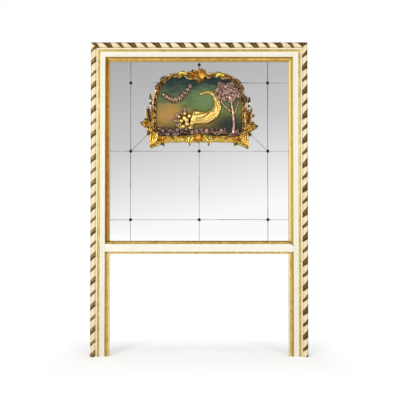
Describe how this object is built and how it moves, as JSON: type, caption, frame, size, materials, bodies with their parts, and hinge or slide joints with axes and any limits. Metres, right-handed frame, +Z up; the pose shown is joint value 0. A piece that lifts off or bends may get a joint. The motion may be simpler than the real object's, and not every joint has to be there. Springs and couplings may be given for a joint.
{
  "type": "trumeau mirror",
  "caption": "Tall trumeau mirror: painted and gilt frame with rope-twist mouldings on two long legs, plated mirror glass above an open space, and a carved cartouche.",
  "frame": {"origin": "on the floor, in the middle of the frame's width and depth", "axes": "+Z up, the mirror faces -Y, the back with its wall pads faces +Y"},
  "size_m": [1.74, 0.094, 2.51],
  "materials": {
    "carcass_wood": "bare aged pine",
    "back_board_wood": "bare aged pine",
    "rope_paint": "cream paint with gilt ribbons, eggshell",
    "cream_paint": "cream paint, eggshell",
    "gilding": "aged gold leaf, satin",
    "mirror_glass": "silvered glass",
    "rosette_bronze": "dark patinated",
    "carved_gilding": "aged gold leaf on carving",
    "board_gilding": "aged gold wash",
    "painted_ground": "dark painted and varnished",
    "relief_rose_bronze": "rose bronze paint over carving",
    "hanger_steel": "zinc plated",
    "pad_rubber": "matt"
  },
  "bodies": {
    "frame": {"back_board_centre": "back_board_wood", "back_board_left": "back_board_wood", "back_board_right": "back_board_wood", "cartouche_base_rail": "carved_gilding", "cartouche_board": "board_gilding", "cartouche_rim_left": "carved_gilding", "cartouche_rim_right": "carved_gilding", "corner_scroll_left": "carved_gilding", "corner_scroll_right": "carved_gilding", "cream_moulding_left": "cream_paint", "cream_moulding_right": "cream_paint", "cream_moulding_top": "cream_paint", "crest_scroll_left": "carved_gilding", "crest_scroll_right": "carved_gilding", "crest_shell": "carved_gilding", "cross_rail": "carcass_wood", "crossbar_face": "cream_paint", "crossbar_lower_bead": "gilding", "crossbar_upper_bead": "gilding", "gilt_bead_left": "gilding", "gilt_bead_right": "gilding", "gilt_bead_top": "gilding", "hanger_screws": "hanger_steel", "hanger_straps": "hanger_steel", "left_stile": "carcass_wood", "leg_moulding_left": "gilding", "leg_moulding_right": "gilding", "middle_brace": "carcass_wood", "mirror_plate_lower_left": "mirror_glass", "mirror_plate_lower_right": "mirror_glass", "mirror_plate_upper_left_inner": "mirror_glass", "mirror_plate_upper_left_outer": "mirror_glass", "mirror_plate_upper_right_inner": "mirror_glass", "mirror_plate_upper_right_outer": "mirror_glass", "mirror_plates_bottom": "mirror_glass", "mirror_plates_left": "mirror_glass", "mirror_plates_right": "mirror_glass", "mirror_plates_top": "mirror_glass", "relief_fruit": "relief_rose_bronze", "relief_garland": "relief_rose_bronze", "relief_ground": "painted_ground", "relief_horn": "relief_rose_bronze", "relief_rocks": "relief_rose_bronze", "relief_tree": "relief_rose_bronze", "right_stile": "carcass_wood", "rope_moulding_left": "rope_paint", "rope_moulding_right": "rope_paint", "rope_moulding_top": "rope_paint", "rosette_screws": "rosette_bronze", "rosettes": "rosette_bronze", "side_spray_left": "carved_gilding", "side_spray_right": "carved_gilding", "sight_moulding_left": "gilding", "sight_moulding_right": "gilding", "sight_moulding_top": "gilding", "top_rail": "carcass_wood", "wall_pads": "pad_rubber"},
    "left_ring": {"hanging_ring_left": "hanger_steel"},
    "right_ring": {"hanging_ring_right": "hanger_steel"}
  },
  "joints": [
    {"name": "left_ring_swing", "type": "hinge", "parent": "frame", "child": "left_ring", "pos_m": [-0.792, 0.043, 2.15], "axis": [1, 0, 0], "range_deg": [0, 180]},
    {"name": "right_ring_swing", "type": "hinge", "parent": "frame", "child": "right_ring", "pos_m": [0.792, 0.043, 2.15], "axis": [1, 0, 0], "range_deg": [0, 180]}
  ]
}
